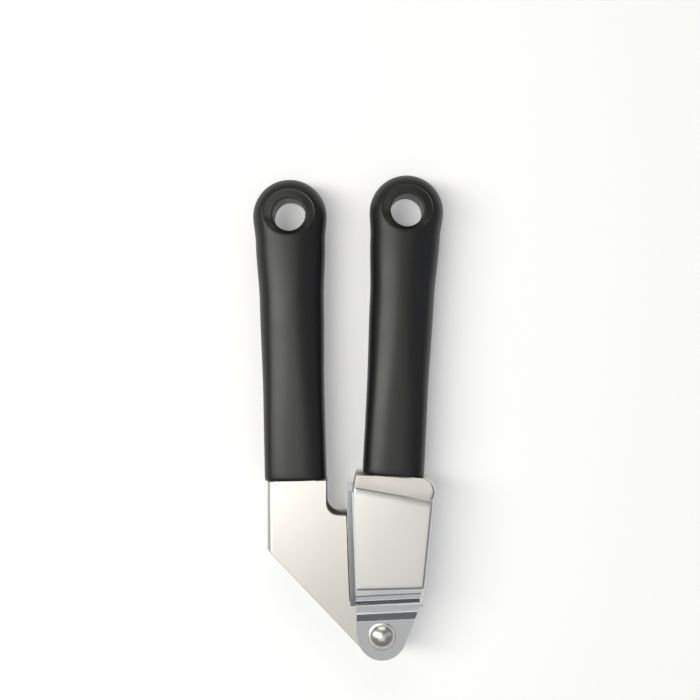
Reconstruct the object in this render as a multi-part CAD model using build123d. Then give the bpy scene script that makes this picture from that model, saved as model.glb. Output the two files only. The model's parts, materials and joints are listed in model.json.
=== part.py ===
from build123d import *
from math import acos, atan2, cos, degrees, hypot, radians, sin, tan
import os

# Garlic press, closed and lying flat: two steel arms on one rivet, each with a moulded grip.
# The handles run along +Y and the rivet stands along +Z. Lengths are in millimetres.
# Plan sizes are measured from the rivet's centre and heights from the press's middle plane.
# At the end every piece is moved so that the origin is the middle of the underside.

# Grips: both are the same moulding
GRIP_REACH = 97.3            # end face to the centre of the round tip
GRIP_HALF_DEPTH = 9.0
GRIP_EDGE_RADIUS = 5.5
GRIP_END_RADIUS = 1.2
GRIP_WIDTHS = [(0, 11.4), (30, 11.35), (65, 11.9), (88, 12.9)]   # distance up, half width
GRIP_TIP_RADIUS = 13.65
HANG_HOLE_UP = 97.4          # end face to the hanging hole's centre
HANG_HOLE_RADIUS = 6.0
HANG_HOLE_HALF_LENGTH = 7.2
DISH_UP = 98.1               # the dish is centred a little nearer the tip than the hole
DISH_FLOOR_RADIUS = 7.0
DISH_RIM_RADIUS = 9.4
SOCKET_HALF_WIDTH = 7.6
SOCKET_HALF_DEPTH = 7.6
SOCKET_LENGTH = 74.0
PLUNGER_GRIP_END = (-31.7, 56.2)
PLUNGER_GRIP_TILT = 1.3      # degrees, anticlockwise
BASKET_GRIP_END = (4.4, 57.9)
BASKET_GRIP_TILT = -2.9

# Tangs: the ends of the arms inside the grips
TANG_HALF_WIDTH = 7.5
TANG_LENGTH = 72.0
TANG_ROOT = 5.0              # how far a tang reaches back into its arm

# Plunger lever: a folded sheet, two flat sides joined by a bent back edge
LEVER_SHEET = 1.5
LEVER_HALF_WIDTH = 7.0
LEVER_BEND_RADIUS = 2.0
LEVER_BACK_X = -41.9
LEVER_BACK_LOW_Y = 31.3
LEVER_FRONT_X = -20.15
NOTCH_Y = 43.7
NOTCH_RADIUS = 4.5

# Sieve basket: a polished box open to the left, with a lip, and two ears for the rivet
BASKET_SHEET = 1.2
BASKET_HALF_WIDTH = 10.5
MOUTH_TOP = (-12.97, 52.9)   # outer plane of the lip, its two ends
MOUTH_LOW = (-11.46, 12.3)
LIP_THICKNESS = 2.0          # the rim is hemmed, two layers of the sheet
LIP_HALF_WIDTH = 11.6
LIP_ENDS = (11.8, 53.4)      # lower and upper Y of the lip
BASKET_FLOOR_Y = 12.3
BASKET_ROOF_Y = 48.4         # at the perforated wall; the roof rises to the lip
ROOF_SLOPE = -0.15
CHAMBER_PAST_MOUTH = 5.0     # the chamber's cutter runs this far out of the mouth
EAR_HALF_WIDTH = 8.5
JOGGLE_MIDDLE_X = 3.3        # the side walls step out from the ears; places are at this X
JOGGLE_TILT = 2.9            # degrees, rising to the right
JOGGLE_PROFILE = [           # Y and half width: ear, crest, groove, bead, shallow step, wall
    (6.2, EAR_HALF_WIDTH), (8.6, 9.7), (10.9, 9.95), (12.2, 9.92), (12.95, 9.25), (13.8, 10.3),
    (14.3, 10.36), (15.4, 10.43), (15.65, 10.3), (15.9, BASKET_HALF_WIDTH)]
JOGGLE_BEND_RADII = (2.5, 2.0)   # at the ear and at the crest
FORK_LEAN = 0.35             # the gap between the ears widens towards the basket's floor
EAR_TOP_Y = 14.6
EAR_RADIUS = 8.8
EAR_LEFT_X = -9.2
EAR_CORNER = (12.4, 7.5)
SIEVE_HOLE_RADIUS = 0.95
SIEVE_PITCH = 3.2
SIEVE_ROWS = 9
SIEVE_COLUMNS = 5
SIEVE_MIDDLE_Y = 31.0

# Basket jacket: a satin sheet wrapped round the basket, which tapers into its grip
JACKET_SHEET = 1.2
JACKET_HALF_WIDTH = 11.8
JACKET_LOW_Y = 17.4
JACKET_LEFT = (-9.0, -10.2)  # X of the open edge at its foot and at the crease
NECK_LEFT_X = -9.3
NECK_STEP = 0.8              # the neck's left edge stands back from the side's, over this length
NECK_LENGTH = 6.2            # crease to grip, square to the crease
SHOULDER = [(18.54, 48.6), (19.6, 51.8)]     # the outline stands a little proud of the web here
CREASE_BEND_RADIUS = 3.2
WEB_LOW = (15.4, 17.7)       # outer face of the web, two points of its line
WEB_HIGH = (18.4, 47.3)
WEB_END_Y = 11.5
CREASE_LEFT = (-10.3, 54.3)
CREASE_RIGHT = (18.4, 49.35)
JACKET_NECK_HALF_WIDTH = 8.2
JACKET_TANG_HALF_WIDTH = 7.5
SHOULDER_RADIUS = 4.0
SHOULDER_BLEND_RADIUS = 5.0
WINDOW_HALF_WIDTH = 7.6
WINDOW_HALF_LENGTH = 14.0
WINDOW_CORNER_RADIUS = 2.5
FOOT_LAP = 1.0               # the web's foot is joined on this far above the sides' lower edge

# Plunger: a folded frame inside the lever and the plate that meets the sieve
PLATE_SHEET = 1.5
PLATE_GAP = 0.3              # plate to sieve when closed
PLATE_HALF_WIDTH = 9.0
PLATE_LOW_Y = 14.6
PLATE_HIGH_Y = 46.0
WEB_LEAN_LIMIT = 8.0         # degrees; the plate's short edges lie within this of X
FRAME_SHEET = 1.2
FRAME_LEFT_X = -24.0
FRAME_LOW_Y = 18.8
FRAME_HIGH_Y = 41.5
FRAME_CORNER = (8.0, 4.0)    # its lower left corner is cut off, this far along X and Y
PLATE_CORNER_RADIUS = 1.0

# Rivet, washers and spacer
SHANK_RADIUS = 2.5
HEAD_RADIUS = 4.5
HEAD_HEIGHT = 2.0
WASHER_RADIUS = 5.0
WASHER_SHEET = 0.5
SPACER_RADIUS = 4.0
RUNNING_GAP = 0.06           # round the shank, where pieces turn on it
TIGHT_GAP = 0.01             # round the shank, where pieces stay still
END_GAP = 0.2                # between faces that turn past each other

BEYOND = 80.0                # cutters reach this far past the metal
OPEN_REACH = 30.0            # and this far where a folded sheet is open
SAME_PLACE = 0.01            # two corners nearer than this are one


def plan(points):
    """Flat plan face from its corners."""
    return make_face(Polyline(*points, close=True))


def slab(face, low, high):
    """Solid that stands on a plan face between two heights."""
    return extrude(Pos(0, 0, low) * face, amount=high - low, dir=(0, 0, 1))


def touch_point(corner, radius, side):
    """Where a line from a corner touches a circle about the rivet."""
    angle = atan2(corner[1], corner[0]) + side * acos(radius / hypot(*corner))
    return (radius * cos(angle), radius * sin(angle))


def web_x(y):
    """X of the outer face of the jacket's web at a given Y."""
    slope = (WEB_HIGH[0] - WEB_LOW[0]) / (WEB_HIGH[1] - WEB_LOW[1])
    return WEB_LOW[0] + slope * (y - WEB_LOW[1])


def mouth_x(y):
    """X of the outer plane of the basket's lip at a given Y."""
    slope = (MOUTH_TOP[0] - MOUTH_LOW[0]) / (MOUTH_TOP[1] - MOUTH_LOW[1])
    return MOUTH_LOW[0] + slope * (y - MOUTH_LOW[1])


def roof_y(x, inset):
    """Y of the basket's roof at a given X, moved in by a sheet thickness."""
    return BASKET_ROOF_Y - inset + ROOF_SLOPE * (x - web_x(BASKET_ROOF_Y))


def grip_place(end, tilt):
    """Location of a grip: its end face centre, with its length along local +Y."""
    return Location((end[0], end[1], 0), (0, 0, tilt))


def shoulder_point(end, tilt, x):
    """Point of a grip's end face line at a given X."""
    return (x, end[1] + (x - end[0]) * tan(radians(tilt)))


def tang(place, half_width, half_depth, sheet, web_side):
    """Narrow folded channel inside a grip; web_side is -1 or 1 for the side with the fold."""
    length = TANG_LENGTH + TANG_ROOT
    outer = Box(2 * half_width, length, 2 * half_depth)
    inner = Pos(-web_side * sheet, 0, 0) * Box(2 * half_width, length, 2 * (half_depth - sheet))
    return place * Pos(0, length / 2 - TANG_ROOT, 0) * (outer - inner)


def grip(place):
    """Moulded handle with a rounded section, a dished hanging hole and a socket for the tang."""
    right = [(width, up) for up, width in GRIP_WIDTHS]
    left = [(-width, up) for width, up in reversed(right)]
    tip = GRIP_REACH + GRIP_TIP_RADIUS
    outline = Curve() + Line(left[-1], right[0])
    outline += Spline(*right, (GRIP_TIP_RADIUS, GRIP_REACH), tangents=[(0, 1), (0, 1)])
    outline += ThreePointArc((GRIP_TIP_RADIUS, GRIP_REACH), (0, tip), (-GRIP_TIP_RADIUS, GRIP_REACH))
    outline += Spline((-GRIP_TIP_RADIUS, GRIP_REACH), *left, tangents=[(0, -1), (0, -1)])
    body = slab(make_face(outline), -GRIP_HALF_DEPTH, GRIP_HALF_DEPTH)
    rims = body.faces().sort_by(Axis.Z)[-1].edges() + body.faces().sort_by(Axis.Z)[0].edges()
    long_rims = [edge for edge in rims if edge.center().Y > 1]
    body = fillet(long_rims, GRIP_EDGE_RADIUS)
    end_face = body.faces().sort_by(Axis.Y)[0]
    body = fillet(end_face.edges(), GRIP_END_RADIUS)
    body -= Pos(0, HANG_HOLE_UP, 0) * Cylinder(HANG_HOLE_RADIUS, 4 * GRIP_HALF_DEPTH)
    depth = GRIP_HALF_DEPTH - HANG_HOLE_HALF_LENGTH
    dish = Cone(DISH_FLOOR_RADIUS, DISH_RIM_RADIUS, depth)
    dish = Pos(0, DISH_UP, HANG_HOLE_HALF_LENGTH + depth / 2) * dish
    body = body - dish - mirror(dish, about=Plane.XY)
    socket = Box(2 * SOCKET_HALF_WIDTH, SOCKET_LENGTH, 2 * SOCKET_HALF_DEPTH)
    body -= Pos(0, SOCKET_LENGTH / 2, 0) * socket
    return place * body


def plunger_lever():
    """Folded arm with flat sides, a bent back edge, a raw diagonal edge and a tang."""
    back_low = (LEVER_BACK_X, LEVER_BACK_LOW_Y)
    front_low = (mouth_x(BASKET_FLOOR_Y) - END_GAP, BASKET_FLOOR_Y)
    corners = [
        shoulder_point(PLUNGER_GRIP_END, PLUNGER_GRIP_TILT, LEVER_BACK_X),
        back_low,
        touch_point(back_low, EAR_RADIUS, 1),
        touch_point(front_low, EAR_RADIUS, -1),
        front_low,
        (mouth_x(NOTCH_Y) - END_GAP, NOTCH_Y),
        (LEVER_FRONT_X, NOTCH_Y),
        shoulder_point(PLUNGER_GRIP_END, PLUNGER_GRIP_TILT, LEVER_FRONT_X),
    ]
    side = plan(corners)
    notch = side.vertices().sort_by_distance((LEVER_FRONT_X, NOTCH_Y, 0))[0]
    side = fillet(notch, NOTCH_RADIUS)
    side += Circle(EAR_RADIUS)
    body = slab(side, -LEVER_HALF_WIDTH, LEVER_HALF_WIDTH)
    bends = body.edges().filter_by(Axis.Y).sort_by(Axis.X)[:2]
    body = fillet(bends, LEVER_BEND_RADIUS)
    inside = Box(BEYOND, 2 * BEYOND, 2 * (LEVER_HALF_WIDTH - LEVER_SHEET))
    body -= Pos(LEVER_BACK_X + LEVER_SHEET + BEYOND / 2, 0, 0) * inside
    place = grip_place(PLUNGER_GRIP_END, PLUNGER_GRIP_TILT)
    body += tang(place, TANG_HALF_WIDTH, LEVER_HALF_WIDTH, LEVER_SHEET, -1)
    body -= Cylinder(SHANK_RADIUS + RUNNING_GAP, 4 * LEVER_HALF_WIDTH)
    return body


def plate_line_x(y, back):
    """X of the press plate's working face at a given Y, moved back into the chamber."""
    return web_x(y) - JACKET_SHEET - BASKET_SHEET - PLATE_GAP - back


def plunger_frame():
    """Folded bracket inside the lever: two side walls and the web that backs the plate."""
    half = LEVER_HALF_WIDTH - LEVER_SHEET
    lean = plate_line_x(FRAME_LOW_Y, PLATE_SHEET), FRAME_LOW_Y
    top = plate_line_x(FRAME_HIGH_Y, PLATE_SHEET), FRAME_HIGH_Y
    cut_x, cut_y = FRAME_CORNER
    side = plan([(FRAME_LEFT_X, FRAME_LOW_Y + cut_y), (FRAME_LEFT_X + cut_x, FRAME_LOW_Y), lean, top,
                 (FRAME_LEFT_X, FRAME_HIGH_Y)])
    body = slab(side, -half, half)
    left, low, high = FRAME_LEFT_X - 1, FRAME_LOW_Y - 1, FRAME_HIGH_Y + 1
    back = PLATE_SHEET + FRAME_SHEET
    inner = plan([(left, low), (plate_line_x(low, back), low), (plate_line_x(high, back), high),
                  (left, high)])
    return body - slab(inner, -half + FRAME_SHEET, half - FRAME_SHEET)


def press_plate():
    """Flat plate that pushes the garlic through the sieve."""
    strip = plan([(plate_line_x(PLATE_LOW_Y, PLATE_SHEET), PLATE_LOW_Y),
                  (plate_line_x(PLATE_LOW_Y, 0), PLATE_LOW_Y),
                  (plate_line_x(PLATE_HIGH_Y, 0), PLATE_HIGH_Y),
                  (plate_line_x(PLATE_HIGH_Y, PLATE_SHEET), PLATE_HIGH_Y)])
    body = slab(strip, -PLATE_HALF_WIDTH, PLATE_HALF_WIDTH)
    corners = body.edges().filter_by(Axis.X, tolerance=WEB_LEAN_LIMIT)
    return fillet(corners, PLATE_CORNER_RADIUS)


def depth_profile(points, bends=()):
    """Solid along the joggle whose section has the given (Y, half width) outline and bends."""
    lower = [(y, -half) for y, half in reversed(points)]
    section = plan(list(points) + lower)
    for (y, half), bend in zip(points[1:], bends):
        corners = [v for v in section.vertices() if abs(v.X - y) < SAME_PLACE]
        section = fillet(corners, bend)
    block = extrude(Plane.YZ * section, amount=BEYOND, both=True)
    return Pos(JOGGLE_MIDDLE_X, 0, 0) * Rot(0, 0, JOGGLE_TILT) * block


def sieve_basket():
    """Polished box with a lip, a perforated wall, and two ears that joggle in to the rivet."""
    wall_x = web_x(BASKET_FLOOR_Y) - JACKET_SHEET
    roof_x = web_x(BASKET_ROOF_Y) - JACKET_SHEET
    mouth_top_x = MOUTH_TOP[0]
    box = plan([(mouth_x(BASKET_FLOOR_Y), BASKET_FLOOR_Y), (wall_x, BASKET_FLOOR_Y),
                (roof_x, roof_y(roof_x, 0)), (mouth_top_x, roof_y(mouth_top_x, 0))])
    ear = plan([(EAR_LEFT_X, EAR_TOP_Y), (EAR_LEFT_X, 0), touch_point(EAR_CORNER, EAR_RADIUS, -1),
                EAR_CORNER, (wall_x, BASKET_FLOOR_Y)])
    outline = box + ear + Circle(EAR_RADIUS)
    ends = [(-BEYOND, EAR_HALF_WIDTH)], [(BEYOND, BASKET_HALF_WIDTH)]
    outside = depth_profile(ends[0] + JOGGLE_PROFILE + ends[1], JOGGLE_BEND_RADII)
    body = slab(outline, -BASKET_HALF_WIDTH, BASKET_HALF_WIDTH) & outside
    floor_top = BASKET_FLOOR_Y + BASKET_SHEET
    outside_x = mouth_top_x - CHAMBER_PAST_MOUTH
    inner_roof_x = roof_x - BASKET_SHEET
    inner_wall = plan([(outside_x, floor_top),
                       (web_x(floor_top) - JACKET_SHEET - BASKET_SHEET, floor_top),
                       (inner_roof_x, roof_y(inner_roof_x, BASKET_SHEET)),
                       (outside_x, roof_y(outside_x, BASKET_SHEET))])
    hollow = slab(inner_wall, -BASKET_HALF_WIDTH + BASKET_SHEET, BASKET_HALF_WIDTH - BASKET_SHEET)
    ear_inside = EAR_HALF_WIDTH - BASKET_SHEET
    fork_low = JOGGLE_PROFILE[0][0]
    fork_top = BASKET_FLOOR_Y + 1
    fork = depth_profile([(-BEYOND, ear_inside), (fork_low, ear_inside),
                          (fork_top, ear_inside + FORK_LEAN * (fork_top - fork_low))])
    fork &= Pos(0, BASKET_FLOOR_Y - BEYOND, 0) * Box(2 * BEYOND, 2 * BEYOND, 2 * BEYOND)
    low, high = LIP_ENDS
    lip = plan([(mouth_x(low), low), (mouth_x(low) + LIP_THICKNESS, low),
                (mouth_x(high) + LIP_THICKNESS, high), (mouth_x(high), high)])
    body += slab(lip, -LIP_HALF_WIDTH, LIP_HALF_WIDTH)
    body = body - hollow - fork
    body -= Cylinder(SHANK_RADIUS + TIGHT_GAP, 4 * BASKET_HALF_WIDTH)
    up = Vector(WEB_HIGH[0] - WEB_LOW[0], WEB_HIGH[1] - WEB_LOW[1], 0)
    outward = Vector(up.Y, -up.X, 0)
    middle = (web_x(SIEVE_MIDDLE_Y) - JACKET_SHEET - BASKET_SHEET / 2, SIEVE_MIDDLE_Y, 0)
    wall = Plane(origin=middle, x_dir=up, z_dir=outward)
    holes = []
    row_step = SIEVE_PITCH * cos(radians(30))
    for row in range(SIEVE_ROWS):
        count = SIEVE_COLUMNS - row % 2
        along = (row - (SIEVE_ROWS - 1) / 2) * row_step
        for column in range(count):
            across = (column - (count - 1) / 2) * SIEVE_PITCH
            holes.append(wall * Pos(along, across, 0) * Cylinder(SIEVE_HOLE_RADIUS, 3 * BASKET_SHEET))
    return body - holes


def jacket_body(inset):
    """Solid block of the jacket's outer shape, with every face moved in by an inset."""
    reach = OPEN_REACH if inset else 0
    top_left = shoulder_point(BASKET_GRIP_END, BASKET_GRIP_TILT, NECK_LEFT_X - reach)
    top_right = shoulder_point(BASKET_GRIP_END, BASKET_GRIP_TILT, SHOULDER[-1][0] - inset)
    left = [(JACKET_LEFT[0] - reach, JACKET_LOW_Y - reach), (JACKET_LEFT[1] - reach, CREASE_LEFT[1]),
            (NECK_LEFT_X - reach, CREASE_LEFT[1] + NECK_STEP), top_left]
    right = [top_right] + [(x - inset, y) for x, y in reversed(SHOULDER)]
    right.append((web_x(JACKET_LOW_Y - reach) - inset, JACKET_LOW_Y - reach))
    side = plan(left + right)
    for turn in right[1:3]:
        side = fillet(side.vertices().sort_by_distance((*turn, 0))[0], SHOULDER_BLEND_RADIUS)
    corner = side.vertices().sort_by_distance((*top_right, 0))[0]
    side = fillet(corner, SHOULDER_RADIUS - inset)
    along = Vector(CREASE_RIGHT[0] - CREASE_LEFT[0], CREASE_RIGHT[1] - CREASE_LEFT[1], 0)
    section = Plane(origin=(*CREASE_LEFT, 0), x_dir=(0, 0, -1), z_dir=along.normalized())
    wide = JACKET_HALF_WIDTH - inset
    slim = JACKET_NECK_HALF_WIDTH - inset
    drop = inset * tan(atan2(wide - slim, NECK_LENGTH) / 2)
    half = [(wide, -BEYOND), (wide, -drop), (slim, NECK_LENGTH - drop), (slim, BEYOND)]
    outline = plan(half + [(-z, v) for z, v in reversed(half)])
    creases = [v for v in outline.vertices() if abs(v.Y + drop) < SAME_PLACE]
    outline = fillet(creases, CREASE_BEND_RADIUS - inset)
    profile = extrude(section * outline, amount=BEYOND, both=True)
    return slab(side, -JACKET_HALF_WIDTH, JACKET_HALF_WIDTH) & profile


def basket_jacket():
    """Satin sheet over both sides and the back of the basket, with a neck and a tang."""
    lap = JACKET_LOW_Y + FOOT_LAP
    foot = plan([(web_x(WEB_END_Y) - JACKET_SHEET, WEB_END_Y), (web_x(WEB_END_Y), WEB_END_Y),
                 (web_x(lap), lap), (web_x(lap) - JACKET_SHEET, lap)])
    body = jacket_body(0) - jacket_body(JACKET_SHEET)
    body += slab(foot, -BASKET_HALF_WIDTH, BASKET_HALF_WIDTH)
    place = grip_place(BASKET_GRIP_END, BASKET_GRIP_TILT)
    body += tang(place, TANG_HALF_WIDTH, JACKET_TANG_HALF_WIDTH, JACKET_SHEET, 1)
    middle = (web_x(SIEVE_MIDDLE_Y), SIEVE_MIDDLE_Y, 0)
    window = Box(4 * JACKET_SHEET, 2 * WINDOW_HALF_LENGTH, 2 * WINDOW_HALF_WIDTH)
    window = fillet(window.edges().filter_by(Axis.X), WINDOW_CORNER_RADIUS)
    tilt = degrees(atan2(WEB_HIGH[1] - WEB_LOW[1], WEB_HIGH[0] - WEB_LOW[0])) - 90
    return body - Location(middle, (0, 0, tilt)) * window


def pivot_rivet():
    """Shank with a domed head at each end."""
    seat = EAR_HALF_WIDTH + WASHER_SHEET
    body = Cylinder(SHANK_RADIUS, 2 * seat + HEAD_HEIGHT)
    dome_radius = (HEAD_RADIUS ** 2 + HEAD_HEIGHT ** 2) / (2 * HEAD_HEIGHT)
    ball = Pos(0, 0, seat + HEAD_HEIGHT - dome_radius) * Sphere(dome_radius)
    dome = ball & Pos(0, 0, seat + HEAD_HEIGHT / 2) * Cylinder(HEAD_RADIUS, HEAD_HEIGHT)
    return body + dome + mirror(dome, about=Plane.XY)


def washer(side):
    """Flat ring under a rivet head."""
    ring = Cylinder(WASHER_RADIUS, WASHER_SHEET) - Cylinder(SHANK_RADIUS + TIGHT_GAP, WASHER_SHEET)
    return Pos(0, 0, side * (EAR_HALF_WIDTH + WASHER_SHEET / 2)) * ring


def pivot_spacer():
    """Tube on the shank that keeps the lever's two sides apart."""
    length = 2 * (LEVER_HALF_WIDTH - LEVER_SHEET - END_GAP)
    return Cylinder(SPACER_RADIUS, length) - Cylinder(SHANK_RADIUS + RUNNING_GAP, length)


pieces = {
    "plunger_grip": grip(grip_place(PLUNGER_GRIP_END, PLUNGER_GRIP_TILT)),
    "plunger_lever": plunger_lever(),
    "plunger_frame": plunger_frame(),
    "press_plate": press_plate(),
    "basket_grip": grip(grip_place(BASKET_GRIP_END, BASKET_GRIP_TILT)),
    "basket_jacket": basket_jacket(),
    "sieve_basket": sieve_basket(),
    "pivot_rivet": pivot_rivet(),
    "washer_front": washer(1),
    "washer_rear": washer(-1),
    "pivot_spacer": pivot_spacer(),
}

everything = Compound(children=[Part() + piece for piece in pieces.values()]).bounding_box()
underside = Vector(everything.center().X, everything.center().Y, everything.min.Z)
os.makedirs("parts", exist_ok=True)
for name, piece in pieces.items():
    export_step(Pos(-underside.X, -underside.Y, -underside.Z) * piece, f"parts/{name}.step")
print("rivet centre in the part's frame", (-underside.X, -underside.Y, -underside.Z))
print("size", everything.size)
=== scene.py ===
import json
import math

import bmesh
import bpy
from mathutils import Matrix, Vector


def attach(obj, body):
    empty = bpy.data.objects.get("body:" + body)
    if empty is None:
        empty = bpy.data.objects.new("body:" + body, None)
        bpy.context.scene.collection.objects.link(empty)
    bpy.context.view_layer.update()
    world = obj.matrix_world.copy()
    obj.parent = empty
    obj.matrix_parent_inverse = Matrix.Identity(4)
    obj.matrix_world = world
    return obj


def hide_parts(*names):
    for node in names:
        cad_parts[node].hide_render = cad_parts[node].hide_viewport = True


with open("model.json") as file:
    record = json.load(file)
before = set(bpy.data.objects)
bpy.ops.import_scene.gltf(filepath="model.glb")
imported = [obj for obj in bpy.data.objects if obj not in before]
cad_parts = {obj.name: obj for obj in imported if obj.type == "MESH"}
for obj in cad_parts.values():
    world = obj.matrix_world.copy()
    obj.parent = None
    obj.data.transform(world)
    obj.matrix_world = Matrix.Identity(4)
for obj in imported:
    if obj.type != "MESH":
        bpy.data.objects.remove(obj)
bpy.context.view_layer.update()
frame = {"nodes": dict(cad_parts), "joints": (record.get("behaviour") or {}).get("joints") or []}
NODES = frame["nodes"]
RIVET = Vector(frame["joints"][0]["pos_m"])

# Sizes are in millimetres. Plan places are measured from the rivet's centre, with Y towards the
# handles, and heights from the middle of the press's thickness.
MM = 0.001
BASKET_SIDE = "basket_side"
PLUNGER_SIDE = "plunger_side"

# Moulded grips
GRIP_REACH = 97.3
GRIP_TIP_RADIUS = 13.65
GRIP_HALF_DEPTH = 9.0
GRIP_WIDTHS = ((0.0, 11.4), (30.0, 11.35), (65.0, 11.9), (88.0, 12.9), (97.3, 13.65))
GRIP_FULLNESS = ((0.0, 3.4), (65.0, 2.4), (111.0, 2.4))    # 2 is an ellipse, more is squarer
GRIP_END_RADIUS = 1.3
GRIP_END_DRAW_IN = 0.2       # share of the end's rounding that the sides take
SHAFT_ROWS = 54
SHAFT_COLUMNS = 44
SHAFT_CROWDING = 0.75        # under 1 crowds the columns towards the steep sides
HEAD_START = 80.0            # above this the mesh runs round the hanging hole
HEAD_SIDE_ROWS = 22
HEAD_TIP_STEPS = 84
HEAD_RINGS = 24
HEAD_CROWDING = 2.1          # over 1 crowds the rings towards the outline
HOLE_UP = 97.4
HOLE_RADIUS = 6.0
HOLE_EDGE_RADIUS = 0.4
DISH_UP = 98.1
DISH_HALF_ACROSS = 9.5
DISH_HALF_ALONG = 8.5
DISH_FLOOR = 7.2             # height of the hole's edge
DISH_RINGS = 8
DISH_FULLNESS = 0.85         # 1 is a straight cone, less bulges
DISH_RIM_ROUND = 0.22
DISH_RIM_DROP = 0.10
SOCKET_HALF_WIDTH = 7.6
SOCKET_HALF_DEPTH = 6.9
SOCKET_SEEN = 12.0           # as deep as anything shows past the tang
PLUNGER_GRIP = (-31.7, 56.2, 1.3)     # end face centre X, Y and tilt in degrees
BASKET_GRIP = (4.4, 57.9, -2.9)

# Basket jacket
JACKET_HALF_WIDTH = 11.8
JACKET_SHEET = 1.2
JACKET_BEND = 1.3
CREASE_LEFT = (-10.3, 54.3)
CREASE_RIGHT = (18.4, 49.35)
CREASE_LEAD = 3.0            # the sheet starts to bend this far before the crease
CREASE_SETTLE = 3.5          # and reaches the neck's full slope this far past it
CREASE_SLOPES = (0.22, 0.47, 0.52)     # just before the crease, just past it, and at the grip
CREASE_NICK = 0.3            # the crease itself is a narrow step, this wide and deep
LOW_EDGE_ROLL = 1.1          # the sides' lower edge rolls inwards over this length
LOW_EDGE_DROP = 0.35
NECK_LEFT_RUN = (0.9, 4.3)   # the neck's left edge, from the crease to the grip
SHOULDER_RUN = (1.0, 3.3)    # its right edge swells out this far above the crease
SHOULDER_CURVE = (4.7, 4.65)           # and then turns in to the grip on a quarter oval
SHOULDER_SHARE = 0.4         # share of the neck's rows below the quarter oval
WEB_SLOPE = 3.0 / 29.6
WEB_LOW = (15.4, 17.7)
WEB_FOOT_Y = 11.5
SIDE_LOW_LEFT = (-9.0, 17.35)
SIDE_LOW_RIGHT_Y = 18.0
SIDE_LOW_WIDTH = 24.0
SIDE_HIGH_LEFT = (-10.2, 54.3)
SIDE_ROWS = 40
SIDE_COLUMNS = 26
NECK_ROWS = 36
NECK_CROWDING = 1.8          # over 1 crowds the rows towards the crease
BEND_STEPS = 7
WINDOW_HALF_WIDTH = 7.6
WINDOW_HALF_LENGTH = 14.0
WINDOW_MIDDLE_Y = 31.0
WINDOW_CORNER = 2.5
WINDOW_ROWS = 34             # the web up to this row is meshed round the window
WINDOW_RINGS = 6
WEB_STEPS = 14
WEB_FOOT_ROWS = 8
TANG_HALF = 7.5
TANG_LAP = 1.0               # it starts this far inside the neck
TANG_LENGTH = 72.0

# Lip of the basket
LIP_LOW = (-11.46, 12.3)
LIP_HIGH = (-12.97, 52.9)
LIP_THICKNESS = 2.0
LIP_HALF_WIDTH = 11.6
LIP_SLOPE_DROP = 0.45        # its inner edge is this much lower than its outer one
LIP_SKIN = 0.05              # points this near the lip's flat belong to it

# Rivet
SHANK_RADIUS = 2.5
HEAD_RADIUS = 4.5
HEAD_HEIGHT = 2.0
HEAD_RIM = 0.25
HEAD_RIM_CORNER = (0.07, 0.08)         # how far in and up the rim's rounded corner passes
HEAD_DOME_SHARE = 0.93       # the dome's arc stops this short of the rim's angle
HEAD_DOME_STEPS = 17
HEAD_TOP_FLAT = 0.02
EAR_HALF_WIDTH = 8.5
WASHER_RADIUS = 5.0
WASHER_SHEET = 0.5
WASHER_EDGE = 0.18
WASHER_BORE_GAP = 0.02

# Camera and floor
CAMERA_HEIGHT = 350.0        # above the middle of the press's thickness
FIELD_WIDTH = 260.4          # width seen at that level
CAMERA_OVER = (-11.6, 104.0)
SENSOR_WIDTH = 36.0
FLOOR_GAP = 0.2              # the table lies this far under the press


def spot(x, y, z=0.0):
    """Point in metres from plan millimetres about the rivet and a height about the middle."""
    return Vector((RIVET.x + x * MM, RIVET.y + y * MM, RIVET.z + z * MM))


def linear(hex_colour):
    """Linear colour from an sRGB hex string."""
    parts = [int(hex_colour[i:i + 2], 16) / 255 for i in (1, 3, 5)]
    return [c / 12.92 if c <= 0.04045 else ((c + 0.055) / 1.055) ** 2.4 for c in parts] + [1.0]


# ---------------------------------------------------------------- materials

def add(tree, kind, values=None, links=None, **settings):
    """Adds one node, sets its properties and socket values, and links its inputs."""
    new = tree.nodes.new(kind)
    for key, value in settings.items():
        setattr(new, key, value)
    for key, value in (values or {}).items():
        new.inputs[key].default_value = value
    for key, source in (links or {}).items():
        tree.links.new(source, new.inputs[key])
    return new


def start_material(name):
    """Empty node material with its output and object coordinates."""
    finish = bpy.data.materials.new(name)
    finish.use_nodes = True
    tree = finish.node_tree
    tree.nodes.clear()
    out = add(tree, "ShaderNodeOutputMaterial")
    place = add(tree, "ShaderNodeTexCoord").outputs["Object"]
    return finish, tree, out, place


def moulded_black_polypropylene():
    """Injection-moulded polypropylene from a spark-eroded tool: a fine grain that spreads the
    highlight into a broad soft band, over a neutral black."""
    finish, tree, out, place = start_material("moulded_black_polypropylene")
    grain = add(tree, "ShaderNodeTexNoise", {"Scale": 1 / (0.45 * MM), "Detail": 3.0, "Roughness": 0.6},
                {"Vector": place})
    patches = add(tree, "ShaderNodeTexNoise", {"Scale": 1 / (9 * MM), "Detail": 2.0}, {"Vector": place})
    bump = add(tree, "ShaderNodeBump", {"Strength": 0.16, "Distance": 0.05 * MM},
               {"Height": grain.outputs["Fac"]})
    tone = add(tree, "ShaderNodeMixRGB", {1: linear("#0e0e0e"), 2: linear("#141413")},
               {0: patches.outputs["Fac"]})
    wear = add(tree, "ShaderNodeMapRange", {"To Min": 0.35, "To Max": 0.43},
               {"Value": patches.outputs["Fac"]})
    shader = add(tree, "ShaderNodeBsdfPrincipled", {"IOR": 1.49, "Specular IOR Level": 0.5},
                 {"Base Color": tone.outputs[0], "Normal": bump.outputs[0], "Roughness": wear.outputs[0]})
    tree.links.new(shader.outputs[0], out.inputs[0])
    return finish


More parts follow.
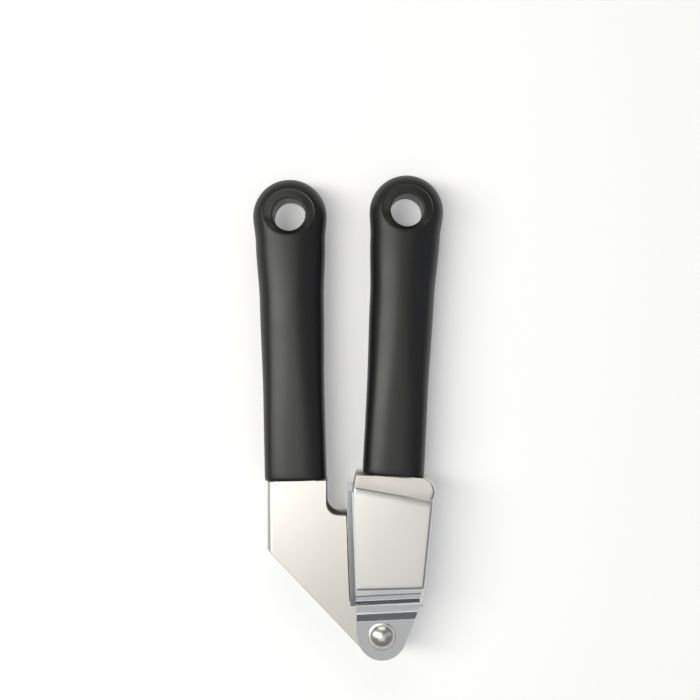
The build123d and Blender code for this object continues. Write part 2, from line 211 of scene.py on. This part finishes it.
def stainless_steel(name, colour, roughness, grain_width, grain_depth, wave_depth):
    """Stainless sheet whose grain runs along the handles; the real grain is about 0.05 mm wide
    and is drawn several times coarser so that it shows. A long shallow wave, left by pressing,
    bends the reflections."""
    finish, tree, out, place = start_material(name)
    across = 1 / (grain_width * MM)
    stretch = add(tree, "ShaderNodeMapping", {"Scale": (across, 1 / (14 * MM), across)}, {"Vector": place})
    grain = add(tree, "ShaderNodeTexNoise", {"Scale": 1.0, "Detail": 4.0, "Roughness": 0.7},
                {"Vector": stretch.outputs[0]})
    cloud = add(tree, "ShaderNodeTexNoise", {"Scale": 1 / (7 * MM), "Detail": 3.0}, {"Vector": place})
    half = add(tree, "ShaderNodeMath", {1: 0.5}, {0: grain.outputs["Fac"]}, operation="MULTIPLY")
    both = add(tree, "ShaderNodeMath", {1: 0.5}, {0: cloud.outputs["Fac"], 2: half.outputs[0]},
               operation="MULTIPLY_ADD")
    worn = add(tree, "ShaderNodeMapRange", {"To Min": roughness[0], "To Max": roughness[1]},
               {"Value": both.outputs[0]})
    lines = add(tree, "ShaderNodeBump", {"Strength": 0.5, "Distance": grain_depth * MM},
                {"Height": grain.outputs["Fac"]})
    swell = add(tree, "ShaderNodeTexNoise", {"Scale": 1 / (14 * MM), "Detail": 0.0}, {"Vector": place})
    wave = add(tree, "ShaderNodeBump", {"Strength": 1.0, "Distance": wave_depth * MM},
               {"Height": swell.outputs["Fac"], "Normal": lines.outputs[0]})
    shader = add(tree, "ShaderNodeBsdfPrincipled", {"Base Color": linear(colour), "Metallic": 1.0},
                 {"Roughness": worn.outputs[0], "Normal": wave.outputs[0]})
    tree.links.new(shader.outputs[0], out.inputs[0])
    return finish


# Steel finishes give a colour, a range of roughness, the grain's width and depth in millimetres,
# and the depth of the wave that pressing left.
FINISHES = {
    "grip_plastic": moulded_black_polypropylene(),
    # Belt-ground satin sheet: a broad warm sheen with faint lines along the lever
    "lever_steel": stainless_steel("satin_stainless_lever", "#cecbc7", (0.30, 0.42), 0.35, 0.004, 0.03),
    # The same satin, ground a little finer: an even pale face that only turns dark at its bends
    "jacket_steel": stainless_steel("satin_stainless_jacket", "#d7d6d3", (0.26, 0.38), 0.35, 0.003, 0.03),
    # Polished after pressing: close to a mirror, so each step of the joggle makes a dark or pale band
    "basket_steel": stainless_steel("polished_stainless", "#d9dcde", (0.07, 0.15), 0.8, 0.001, 0.12),
    # Rolled sheet left as it came: dull and darker than the parts that show
    "plunger_steel": stainless_steel("rolled_stainless", "#cfcecc", (0.28, 0.40), 0.5, 0.004, 0.03),
    # Tumbled after heading: soft bright patches on a darker dome
    "rivet_steel": stainless_steel("tumbled_stainless", "#e2e0dc", (0.24, 0.32), 1.2, 0.001, 0.02),
}


# ---------------------------------------------------------------- mesh helpers

def piece_from(name, mesh_builder, body, replaced, slot):
    """Makes an object from a bmesh, gives it its finish and body, and hides the CAD parts that it
    replaces.
    """
    mesh = bpy.data.meshes.new(name)
    bmesh.ops.recalc_face_normals(mesh_builder, faces=mesh_builder.faces)
    mesh_builder.to_mesh(mesh)
    mesh_builder.free()
    piece = bpy.data.objects.new(name, mesh)
    bpy.context.scene.collection.objects.link(piece)
    mesh.materials.append(FINISHES[slot])
    mesh.polygons.foreach_set("use_smooth", [True] * len(mesh.polygons))
    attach(piece, body)
    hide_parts(*replaced)
    return piece


def soften(piece, width, segments=2, angle=28):
    """Rounds a piece's sharp edges and keeps its flat faces flat to the light."""
    bevel = piece.modifiers.new("edge_rounding", "BEVEL")
    bevel.width = width * MM
    bevel.segments = segments
    bevel.limit_method = "ANGLE"
    bevel.angle_limit = math.radians(angle)
    bevel.use_clamp_overlap = True
    weighted = piece.modifiers.new("flat_faces", "WEIGHTED_NORMAL")
    weighted.keep_sharp = True


def welded(node):
    """Clean bmesh of a CAD node: one closed skin with whole flat faces."""
    skin = bmesh.new()
    skin.from_mesh(NODES[node].data)
    bmesh.ops.remove_doubles(skin, verts=skin.verts, dist=1e-6)
    bmesh.ops.dissolve_limit(skin, angle_limit=math.radians(0.4), verts=skin.verts, edges=skin.edges)
    return skin


def smooth_step(x, low, high):
    """0 below low, 1 above high, smooth between."""
    t = min(1.0, max(0.0, (x - low) / (high - low)))
    return t * t * (3 - 2 * t)


def along_points(points, at):
    """Smooth value at a distance, from (distance, value) pairs."""
    for (a, va), (b, vb) in zip(points, points[1:]):
        if at <= b:
            return va + (vb - va) * smooth_step(at, a, b)
    return points[-1][1]


# ---------------------------------------------------------------- moulded grips

def grip_half_width(up):
    """Half width of the grip's plan outline."""
    if up <= GRIP_REACH:
        return along_points(GRIP_WIDTHS, up)
    return math.sqrt(max(0.0, GRIP_TIP_RADIUS ** 2 - (up - GRIP_REACH) ** 2))


def grip_height(x, up):
    """Height of the grip's crowned skin over a plan point."""
    if up > GRIP_REACH:
        inward = math.hypot(x, up - GRIP_REACH) / GRIP_TIP_RADIUS
    else:
        inward = abs(x) / grip_half_width(up)
    fullness = along_points(GRIP_FULLNESS, up)
    return GRIP_HALF_DEPTH * (1 - min(1.0, inward) ** fullness) ** (1 / fullness)


def dish_reach(way):
    """Distance from the hole's centre to the dish's oval rim, in a plan direction."""
    a = (way.x / DISH_HALF_ACROSS) ** 2 + (way.y / DISH_HALF_ALONG) ** 2
    offset = HOLE_UP - DISH_UP
    b = 2 * way.y * offset / DISH_HALF_ALONG ** 2
    c = (offset / DISH_HALF_ALONG) ** 2 - 1
    return (-b + math.sqrt(b * b - 4 * a * c)) / (2 * a)


def head_rings(x, up):
    """Points from the hole's middle out to one point of the head's outline, as x, up and height."""
    way = Vector((x, up - HOLE_UP))
    full = way.length
    way.normalize()
    rim = dish_reach(way)
    rim_height = grip_height(way.x * rim, HOLE_UP + way.y * rim)
    points = [(HOLE_RADIUS, 0.0), (HOLE_RADIUS, 0.5 * DISH_FLOOR)]
    edge_steps = 4
    for k in range(edge_steps + 1):
        angle = math.pi / 2 * k / edge_steps
        points.append((HOLE_RADIUS + HOLE_EDGE_RADIUS * (1 - math.cos(angle)),
                       DISH_FLOOR - HOLE_EDGE_RADIUS * (1 - math.sin(angle))))
    start = points[-1][0]
    for k in range(1, DISH_RINGS):
        t = k / DISH_RINGS
        points.append((start + (rim - DISH_RIM_ROUND - start) * t,
                       DISH_FLOOR + (rim_height - DISH_RIM_DROP - DISH_FLOOR) * t ** DISH_FULLNESS))
    points.append((rim - DISH_RIM_ROUND, rim_height - DISH_RIM_DROP))
    points.append((rim - 0.35 * DISH_RIM_ROUND, rim_height - 0.25 * DISH_RIM_DROP))
    outer = rim + DISH_RIM_ROUND
    for k in range(HEAD_RINGS + 1):
        reach = outer + (full - outer) * (1 - (1 - k / HEAD_RINGS) ** HEAD_CROWDING)
        points.append((reach, grip_height(way.x * reach, HOLE_UP + way.y * reach)))
    return [(way.x * r, HOLE_UP + way.y * r, z) for r, z in points]


def shaft_rows():
    """Distances up the shaft: the rounded end, then even rows to the head."""
    end_steps = 5
    rows = [GRIP_END_RADIUS * (1 - math.cos(math.pi / 2 * k / end_steps)) for k in range(end_steps + 1)]
    step = (HEAD_START - GRIP_END_RADIUS) / SHAFT_ROWS
    return rows + [GRIP_END_RADIUS + step * k for k in range(1, SHAFT_ROWS + 1)]


def shaft_columns():
    """Places across the shaft, from -1 to 1."""
    turns = [math.cos(math.pi * k / SHAFT_COLUMNS) for k in range(SHAFT_COLUMNS + 1)]
    return [-math.copysign(abs(turn) ** SHAFT_CROWDING, turn) for turn in turns]


def head_outline():
    """Outline of the head in plan: across the shaft's last row, then round the tip."""
    rise = (GRIP_REACH - HEAD_START) / HEAD_SIDE_ROWS
    outline = [(u * grip_half_width(HEAD_START), HEAD_START) for u in shaft_columns()]
    for k in range(1, HEAD_SIDE_ROWS):
        up = HEAD_START + rise * k
        outline.append((grip_half_width(up), up))
    for k in range(HEAD_TIP_STEPS + 1):
        angle = math.pi * k / HEAD_TIP_STEPS
        outline.append((GRIP_TIP_RADIUS * math.cos(angle), GRIP_REACH + GRIP_TIP_RADIUS * math.sin(angle)))
    for k in range(1, HEAD_SIDE_ROWS):
        up = GRIP_REACH - rise * k
        outline.append((-grip_half_width(up), up))
    return outline


def grip_shaft(bm, vertex, side):
    """Upper or lower skin of the shaft, with its end drawn in to a small radius."""
    grid = []
    for up in shaft_rows():
        short = max(0.0, GRIP_END_RADIUS - up)
        shrink = GRIP_END_RADIUS - math.sqrt(GRIP_END_RADIUS ** 2 - short ** 2)
        half = grip_half_width(up)
        drawn_in = half - GRIP_END_DRAW_IN * shrink
        lowered = side * (1 - shrink / GRIP_HALF_DEPTH)
        grid.append([vertex(u * drawn_in, up, lowered * grip_height(u * half, up))
                     for u in shaft_columns()])
    for low, high in zip(grid, grid[1:]):
        for k in range(SHAFT_COLUMNS):
            bm.faces.new((low[k], low[k + 1], high[k + 1], high[k]))


def grip_head(bm, vertex, side):
    """Upper or lower skin of the head, as spokes from the hole's middle to the outline."""
    spokes = []
    for x, up in head_outline():
        points = head_rings(x, up)
        if up > HEAD_START:
            points[-1] = (x, up, 0.0)
        spokes.append([vertex(px, pu, side * z) for px, pu, z in points])
    for here, there in zip(spokes, spokes[1:] + spokes[:1]):
        for k in range(len(here) - 1):
            bm.faces.new((here[k], there[k], there[k + 1], here[k + 1]))


def grip_socket(bm, end, turn):
    """Flat end face and the mouth of the socket that holds the tang."""
    open_edges = [e for e in bm.edges if e.is_boundary]
    mouth = bmesh.ops.extrude_edge_only(bm, edges=open_edges)["geom"]
    for v in [g for g in mouth if isinstance(g, bmesh.types.BMVert)]:
        local = turn.inverted() @ ((v.co - spot(*end)) / MM)
        scale = 1 / max(abs(local.x) / SOCKET_HALF_WIDTH, abs(local.z) / SOCKET_HALF_DEPTH)
        moved = turn @ Vector((local.x * scale, local.y, 0))
        v.co = spot(end[0] + moved.x, end[1] + moved.y, local.z * scale)
    mouth_edges = [g for g in mouth if isinstance(g, bmesh.types.BMEdge)]
    floor = bmesh.ops.extrude_edge_only(bm, edges=mouth_edges)["geom"]
    for v in [g for g in floor if isinstance(g, bmesh.types.BMVert)]:
        v.co += turn @ Vector((0, SOCKET_SEEN * MM, 0))
    bmesh.ops.holes_fill(bm, edges=[g for g in floor if isinstance(g, bmesh.types.BMEdge)])


def moulded_grip(name, place, body, node):
    """One grip: a rounded shaft, a round head with a dished hole, and a socket for the tang."""
    end_x, end_y, tilt = place
    turn = Matrix.Rotation(math.radians(tilt), 3, "Z")
    bm = bmesh.new()

    def vertex(x, up, z):
        moved = turn @ Vector((x, up, 0))
        return bm.verts.new(spot(end_x + moved.x, end_y + moved.y, z))

    for side in (1, -1):
        grip_shaft(bm, vertex, side)
        grip_head(bm, vertex, side)
    bmesh.ops.remove_doubles(bm, verts=bm.verts, dist=2e-6)
    grip_socket(bm, (end_x, end_y), turn)
    grip = piece_from(name, bm, body, [node], "grip_plastic")
    grip.data.set_sharp_from_angle(angle=math.radians(50))
    return grip


# ---------------------------------------------------------------- basket jacket

def past_crease(x, y):
    """Distance past the crease line, square to it, towards the grip."""
    line = Vector((CREASE_RIGHT[0] - CREASE_LEFT[0], CREASE_RIGHT[1] - CREASE_LEFT[1])).normalized()
    away = Vector((x - CREASE_LEFT[0], y - CREASE_LEFT[1]))
    return line.x * away.y - line.y * away.x


def jacket_half_depth(x, y):
    """Half depth of the jacket's outer skin: a rolled lower edge, level, then bent at the crease."""
    before, past, full = CREASE_SLOPES
    v = past_crease(x, y)
    lead = min(CREASE_LEAD, max(0.0, v + CREASE_LEAD))
    beyond = max(0.0, v)
    settle = min(beyond, CREASE_SETTLE)
    depth = before * lead ** 2 / (2 * CREASE_LEAD)
    depth += past * settle + (full - past) * settle ** 2 / (2 * CREASE_SETTLE)
    depth += full * (beyond - settle) + CREASE_NICK * smooth_step(v, 0.0, CREASE_NICK)
    low_slope = (SIDE_LOW_RIGHT_Y - SIDE_LOW_LEFT[1]) / SIDE_LOW_WIDTH
    low_y = SIDE_LOW_LEFT[1] + low_slope * (x - SIDE_LOW_LEFT[0])
    roll = max(0.0, 1 - (y - low_y) / LOW_EDGE_ROLL)
    return JACKET_HALF_WIDTH - depth - LOW_EDGE_DROP * roll ** 2


def web_x(y):
    """X of the web's outer face."""
    return WEB_LOW[0] + WEB_SLOPE * (y - WEB_LOW[1])


def mix(a, b, t):
    """Point part of the way from a to b."""
    return tuple(p + (q - p) * t for p, q in zip(a, b))


def jacket_stations():
    """Pairs of left and right outline points from the foot of the sides to the grip."""
    low_right = (web_x(SIDE_LOW_RIGHT_Y), SIDE_LOW_RIGHT_Y)
    high_right = (web_x(CREASE_RIGHT[1]), CREASE_RIGHT[1])
    pairs = []
    for k in range(SIDE_ROWS + 1):
        t = 0.5 - 0.5 * math.cos(math.pi * k / SIDE_ROWS)
        pairs.append((mix(SIDE_LOW_LEFT, SIDE_HIGH_LEFT, t), mix(low_right, high_right, t)))
    shoulder = (high_right[0] + SHOULDER_RUN[0], high_right[1] + SHOULDER_RUN[1])
    for k in range(1, NECK_ROWS + 1):
        t = (k / NECK_ROWS) ** NECK_CROWDING
        left = (SIDE_HIGH_LEFT[0] + NECK_LEFT_RUN[0] * t, SIDE_HIGH_LEFT[1] + NECK_LEFT_RUN[1] * t)
        if t < SHOULDER_SHARE:
            rise = t / SHOULDER_SHARE
            right = (high_right[0] + SHOULDER_RUN[0] * smooth_step(rise, 0, 1),
                     high_right[1] + SHOULDER_RUN[1] * rise)
        else:
            angle = math.pi / 2 * (t - SHOULDER_SHARE) / (1 - SHOULDER_SHARE)
            right = (shoulder[0] - SHOULDER_CURVE[0] * (1 - math.cos(angle)),
                     shoulder[1] + SHOULDER_CURVE[1] * math.sin(angle))
        pairs.append((left, right))
    return pairs


def in_window(y, z, top_y):
    """Point of the window's edge that faces a point of the web's outline, as y and height."""
    u = z / (JACKET_HALF_WIDTH - JACKET_BEND)
    v = 2 * (y - WEB_FOOT_Y) / (top_y - WEB_FOOT_Y) - 1
    point = Vector((v * WINDOW_HALF_LENGTH, u * WINDOW_HALF_WIDTH))
    corner = Vector((math.copysign(WINDOW_HALF_LENGTH - WINDOW_CORNER, v),
                     math.copysign(WINDOW_HALF_WIDTH - WINDOW_CORNER, u)))
    if abs(point.x) > abs(corner.x) and abs(point.y) > abs(corner.y):
        point = corner + (point - corner).normalized() * WINDOW_CORNER
    return WINDOW_MIDDLE_Y + point.x, point.y


def web_round_window(bm, stations):
    """Lower part of the web as rings between its outline and the outlet window."""
    top = JACKET_HALF_WIDTH - JACKET_BEND
    ys = [right[1] for left, right in stations[:WINDOW_ROWS + 1]]
    ends = [top * (1 - 2 * k / WEB_STEPS) for k in range(WEB_STEPS + 1)]
    foot = [ys[0] + (WEB_FOOT_Y - ys[0]) * k / WEB_FOOT_ROWS for k in range(1, WEB_FOOT_ROWS + 1)]
    outline = [(y, top) for y in reversed(foot)] + [(y, top) for y in ys]
    outline += [(ys[-1], z) for z in ends[1:-1]]
    outline += [(y, -top) for y in reversed(ys)] + [(y, -top) for y in foot]
    outline += [(WEB_FOOT_Y, z) for z in reversed(ends[1:-1])]
    spokes = []
    for y, z in outline:
        inner = in_window(y, z, ys[-1])
        spoke = [mix((y, z), inner, k / WINDOW_RINGS) for k in range(WINDOW_RINGS + 1)]
        spokes.append([bm.verts.new(spot(web_x(a), a, b)) for a, b in spoke])
    for here, there in zip(spokes, spokes[1:] + spokes[:1]):
        for k in range(WINDOW_RINGS):
            bm.faces.new((here[k], there[k], there[k + 1], here[k + 1]))


def jacket_side(bm, stations, side):
    """One side of the jacket, from its open edge over the bend to the web."""
    grid = []
    for left, right in stations:
        a, b = Vector(left), Vector(right)
        span = (b - a).length
        line = []
        for k in range(SIDE_COLUMNS + 1):
            p = a + (b - a) * ((span - JACKET_BEND) / span * k / SIDE_COLUMNS)
            line.append((p.x, p.y, jacket_half_depth(p.x, p.y)))
        for k in range(1, BEND_STEPS + 1):
            angle = math.pi / 2 * k / BEND_STEPS
            p = a + (b - a) * ((span - JACKET_BEND * (1 - math.sin(angle))) / span)
            half = jacket_half_depth(p.x, p.y)
            line.append((p.x, p.y, half - JACKET_BEND * (1 - math.cos(angle))))
        grid.append([bm.verts.new(spot(x, y, side * z)) for x, y, z in line])
    for low, high in zip(grid, grid[1:]):
        for k in range(len(low) - 1):
            bm.faces.new((low[k], low[k + 1], high[k + 1], high[k]))


def upper_web(bm, stations):
    """The web above the window."""
    web = []
    for left, right in stations[WINDOW_ROWS:]:
        top = jacket_half_depth(*right) - JACKET_BEND
        heights = [top * (1 - 2 * k / WEB_STEPS) for k in range(WEB_STEPS + 1)]
        web.append([bm.verts.new(spot(*right, z)) for z in heights])
    for low, high in zip(web, web[1:]):
        for k in range(WEB_STEPS):
            bm.faces.new((low[k], low[k + 1], high[k + 1], high[k]))


def jacket_mesh():
    """Outer skin of the jacket as one folded sheet, open towards the lip."""
    bm = bmesh.new()
    stations = jacket_stations()
    for side in (1, -1):
        jacket_side(bm, stations, side)
    upper_web(bm, stations)
    web_round_window(bm, stations)
    tang_sheet(bm)
    bmesh.ops.remove_doubles(bm, verts=bm.verts, dist=3e-6)
    return bm


def tang_sheet(bm):
    """Narrow folded channel that the grip is moulded over."""
    end_x, end_y, tilt = BASKET_GRIP
    turn = Matrix.Rotation(math.radians(tilt), 3, "Z")
    half = TANG_HALF
    section = [(-half, half), (half, half), (half, -half), (-half, -half)]
    rows = []
    for up in (-TANG_LAP, TANG_LENGTH):
        row = []
        for x, z in section:
            moved = turn @ Vector((x, up, 0))
            row.append(bm.verts.new(spot(end_x + moved.x, end_y + moved.y, z)))
        rows.append(row)
    for k in range(len(section) - 1):
        bm.faces.new((rows[0][k], rows[0][k + 1], rows[1][k + 1], rows[1][k]))


def basket_jacket():
    """Satin jacket: a sheet folded round the basket, with an outlet window in its web."""
    jacket = piece_from("satin_basket_jacket", jacket_mesh(), BASKET_SIDE, ["basket_jacket"],
                        "jacket_steel")
    sheet = jacket.modifiers.new("sheet", "SOLIDIFY")
    sheet.thickness = JACKET_SHEET * MM
    sheet.offset = -1
    sheet.use_even_offset = True
    soften(jacket, 0.25, angle=45)
    return jacket


# ---------------------------------------------------------------- rivet

def turned(bm, profile, steps=72):
    """Skin turned about the rivet's axis from (radius, height) points."""
    loops = []
    for radius, z in profile:
        loops.append([bm.verts.new(spot(radius * math.cos(2 * math.pi * k / steps),
                                        radius * math.sin(2 * math.pi * k / steps), z))
                      for k in range(steps)])
    for low, high in zip(loops, loops[1:]):
        for k in range(steps):
            n = (k + 1) % steps
            bm.faces.new((low[k], low[n], high[n], high[k]))
    return loops


def rivet_head_profile():
    """Half profile of a domed head, from its seat edge to its top."""
    seat = EAR_HALF_WIDTH + WASHER_SHEET
    ball = (HEAD_RADIUS ** 2 + HEAD_HEIGHT ** 2) / (2 * HEAD_HEIGHT)
    points = [(HEAD_RADIUS - HEAD_RIM, seat),
              (HEAD_RADIUS - HEAD_RIM_CORNER[0], seat + HEAD_RIM_CORNER[1]),
              (HEAD_RADIUS, seat + HEAD_RIM)]
    limit = math.asin(HEAD_RADIUS / ball) * HEAD_DOME_SHARE
    for k in range(HEAD_DOME_STEPS):
        angle = limit * (1 - k / HEAD_DOME_STEPS)
        points.append((ball * math.sin(angle), seat + HEAD_HEIGHT - ball + ball * math.cos(angle)))
    points.append((HEAD_TOP_FLAT, seat + HEAD_HEIGHT))
    return points


def pivot_rivet():
    """Shank with a domed head at each end, as one turned piece."""
    head = rivet_head_profile()
    seat = EAR_HALF_WIDTH + WASHER_SHEET
    lower = [(r, -z) for r, z in reversed(head)]
    profile = lower + [(SHANK_RADIUS, -seat), (SHANK_RADIUS, seat)] + head
    bm = bmesh.new()
    loops = turned(bm, profile)
    bm.faces.new(loops[0])
    bm.faces.new(loops[-1])
    rivet = piece_from("domed_pivot_rivet", bm, BASKET_SIDE, ["pivot_rivet"], "rivet_steel")
    rivet.data.set_sharp_from_angle(angle=math.radians(40))
    return rivet


def washer(name, node, side):
    """Thin ring under a rivet head, with rounded rims."""
    low = EAR_HALF_WIDTH
    high = EAR_HALF_WIDTH + WASHER_SHEET
    bore = SHANK_RADIUS + WASHER_BORE_GAP
    rims = [(bore, low), (WASHER_RADIUS - WASHER_EDGE, low)]
    rims += [(WASHER_RADIUS, low + WASHER_EDGE), (WASHER_RADIUS, high - WASHER_EDGE)]
    rims += [(WASHER_RADIUS - WASHER_EDGE * 0.3, high - WASHER_EDGE * 0.3)]
    rims += [(WASHER_RADIUS - WASHER_EDGE, high), (bore, high), (bore, low)]
    bm = bmesh.new()
    turned(bm, [(r, side * z) for r, z in rims])
    bmesh.ops.remove_doubles(bm, verts=bm.verts, dist=1e-7)
    ring = piece_from(name, bm, BASKET_SIDE, [node], "rivet_steel")
    ring.data.set_sharp_from_angle(angle=math.radians(50))
    return ring


# ---------------------------------------------------------------- folded steel pieces

def folded_steel(name, node, body, slot, edge):
    """A sheet piece with its cut edges rounded off."""
    piece = piece_from(name, welded(node), body, [node], slot)
    soften(piece, edge)
    return piece


def lip_x(y):
    """X of the lip's outer plane at a given Y."""
    slope = (LIP_HIGH[0] - LIP_LOW[0]) / (LIP_HIGH[1] - LIP_LOW[1])
    return LIP_LOW[0] + slope * (y - LIP_LOW[1])


def sieve_basket():
    """The basket, with its hemmed lip sloping down a little towards the jacket."""
    skin = welded("sieve_basket")
    for v in skin.verts:
        height = (v.co.z - RIVET.z) / MM
        across = (v.co.x - RIVET.x) / MM - lip_x((v.co.y - RIVET.y) / MM)
        if abs(height) > LIP_HALF_WIDTH - LIP_SKIN and across > LIP_THICKNESS / 2:
            v.co.z -= math.copysign(LIP_SLOPE_DROP * MM, height)
    basket = piece_from("polished_sieve_basket", skin, BASKET_SIDE, ["sieve_basket"], "basket_steel")
    soften(basket, 0.3, angle=18)
    return basket


# ---------------------------------------------------------------- the press

moulded_grip("moulded_plunger_grip", PLUNGER_GRIP, PLUNGER_SIDE, "plunger_grip")
moulded_grip("moulded_basket_grip", BASKET_GRIP, BASKET_SIDE, "basket_grip")
folded_steel("folded_plunger_lever", "plunger_lever", PLUNGER_SIDE, "lever_steel", 0.4)
folded_steel("folded_plunger_frame", "plunger_frame", PLUNGER_SIDE, "plunger_steel", 0.2)
folded_steel("rounded_press_plate", "press_plate", PLUNGER_SIDE, "plunger_steel", 0.2)
basket_jacket()
sieve_basket()
folded_steel("pivot_spacer_tube", "pivot_spacer", BASKET_SIDE, "plunger_steel", 0.15)
pivot_rivet()
washer("front_rivet_washer", "washer_front", 1)
washer("rear_rivet_washer", "washer_rear", -1)


# ---------------------------------------------------------------- stage, lights and camera

def pale_floor():
    """Plain pale table under the press."""
    bm = bmesh.new()
    bmesh.ops.create_grid(bm, x_segments=8, y_segments=8, size=3.0)
    mesh = bpy.data.meshes.new("pale_table")
    bm.to_mesh(mesh)
    bm.free()
    floor = bpy.data.objects.new("pale_table", mesh)
    floor.location.z = -FLOOR_GAP * MM
    bpy.context.scene.collection.objects.link(floor)
    finish, tree, out, place = start_material("pale_table_paper")
    speckle = add(tree, "ShaderNodeTexNoise", {"Scale": 1 / (6 * MM), "Detail": 3.0}, {"Vector": place})
    rough = add(tree, "ShaderNodeMapRange", {"To Min": 0.7, "To Max": 0.85},
                {"Value": speckle.outputs["Fac"]})
    shader = add(tree, "ShaderNodeBsdfPrincipled",
                 {"Base Color": linear("#f6f6f6"), "Emission Color": linear("#fbfcff"),
                  "Emission Strength": 0.22}, {"Roughness": rough.outputs[0]})
    tree.links.new(shader.outputs[0], out.inputs[0])
    mesh.materials.append(finish)


def softbox(name, place, size, glow, aim=(0.0, -0.03, 0.01), tint="#ffffff"):
    """Rectangular studio light that points at the press; lengths in metres, glow is its radiance."""
    lamp = bpy.data.lights.new(name, "AREA")
    lamp.shape = "RECTANGLE"
    lamp.size, lamp.size_y = size
    lamp.energy = glow * math.pi * size[0] * size[1]
    lamp.color = linear(tint)[:3]
    light = bpy.data.objects.new(name, lamp)
    light.location = place
    light.rotation_euler = (Vector(aim) - light.location).to_track_quat("-Z", "Y").to_euler()
    bpy.context.scene.collection.objects.link(light)


def studio_walls():
    """Surroundings that the steel mirrors: pale at the horizon, dim walls and ceiling."""
    world = bpy.data.worlds.new("studio")
    bpy.context.scene.world = world
    world.use_nodes = True
    tree = world.node_tree
    tree.nodes.clear()
    out = add(tree, "ShaderNodeOutputWorld")
    way = add(tree, "ShaderNodeTexCoord").outputs["Generated"]
    height = add(tree, "ShaderNodeSeparateXYZ", None, {0: way}).outputs[2]
    ramp = add(tree, "ShaderNodeValToRGB", None, {0: height})
    stops = ((0.0, 0.75), (0.1, 0.6), (0.2, 0.12), (0.5, 0.22), (0.8, 0.15), (1.0, 0.12))
    elements = ramp.color_ramp.elements
    while len(elements) < len(stops):
        elements.new(0.5)
    for element, (at, level) in zip(elements, stops):
        element.position = at
        element.color = (level, level, level, 1)
    back = add(tree, "ShaderNodeBackground", {"Strength": 1.0}, {"Color": ramp.outputs[0]})
    tree.links.new(back.outputs[0], out.inputs[0])


def studio_camera():
    """Camera straight above, with the handles pointing up the picture."""
    lens = bpy.data.cameras.new("overhead")
    lens.sensor_width = SENSOR_WIDTH
    lens.lens = lens.sensor_width * CAMERA_HEIGHT / FIELD_WIDTH
    lens.clip_start = 0.01
    camera = bpy.data.objects.new("overhead", lens)
    camera.location = spot(*CAMERA_OVER) + Vector((0, 0, CAMERA_HEIGHT * MM))
    bpy.context.scene.collection.objects.link(camera)
    bpy.context.scene.camera = camera


bpy.context.scene.view_settings.view_transform = "Standard"
pale_floor()
studio_walls()
softbox("overhead_panel", (0.0, -0.20, 1.0), (0.9, 0.22), 0.84, tint="#fffdf9")
softbox("front_panel", (0.0, -0.48, 1.0), (0.9, 0.32), 0.50, tint="#f6f5f2")
softbox("front_strip", (0.0, -0.64, 0.98), (0.9, 0.10), 1.1, tint="#e6e8ff")
softbox("handle_end_panel", (0.0, 1.15, 0.95), (1.2, 0.55), 1.5, tint="#fffaf2")
softbox("left_softbox", (-0.58, 0.05, 1.0), (0.30, 1.1), 9.0, tint="#fffef8")
softbox("right_softbox", (0.80, 0.05, 0.85), (0.4, 1.0), 0.5, tint="#dfe8ff")
studio_camera()
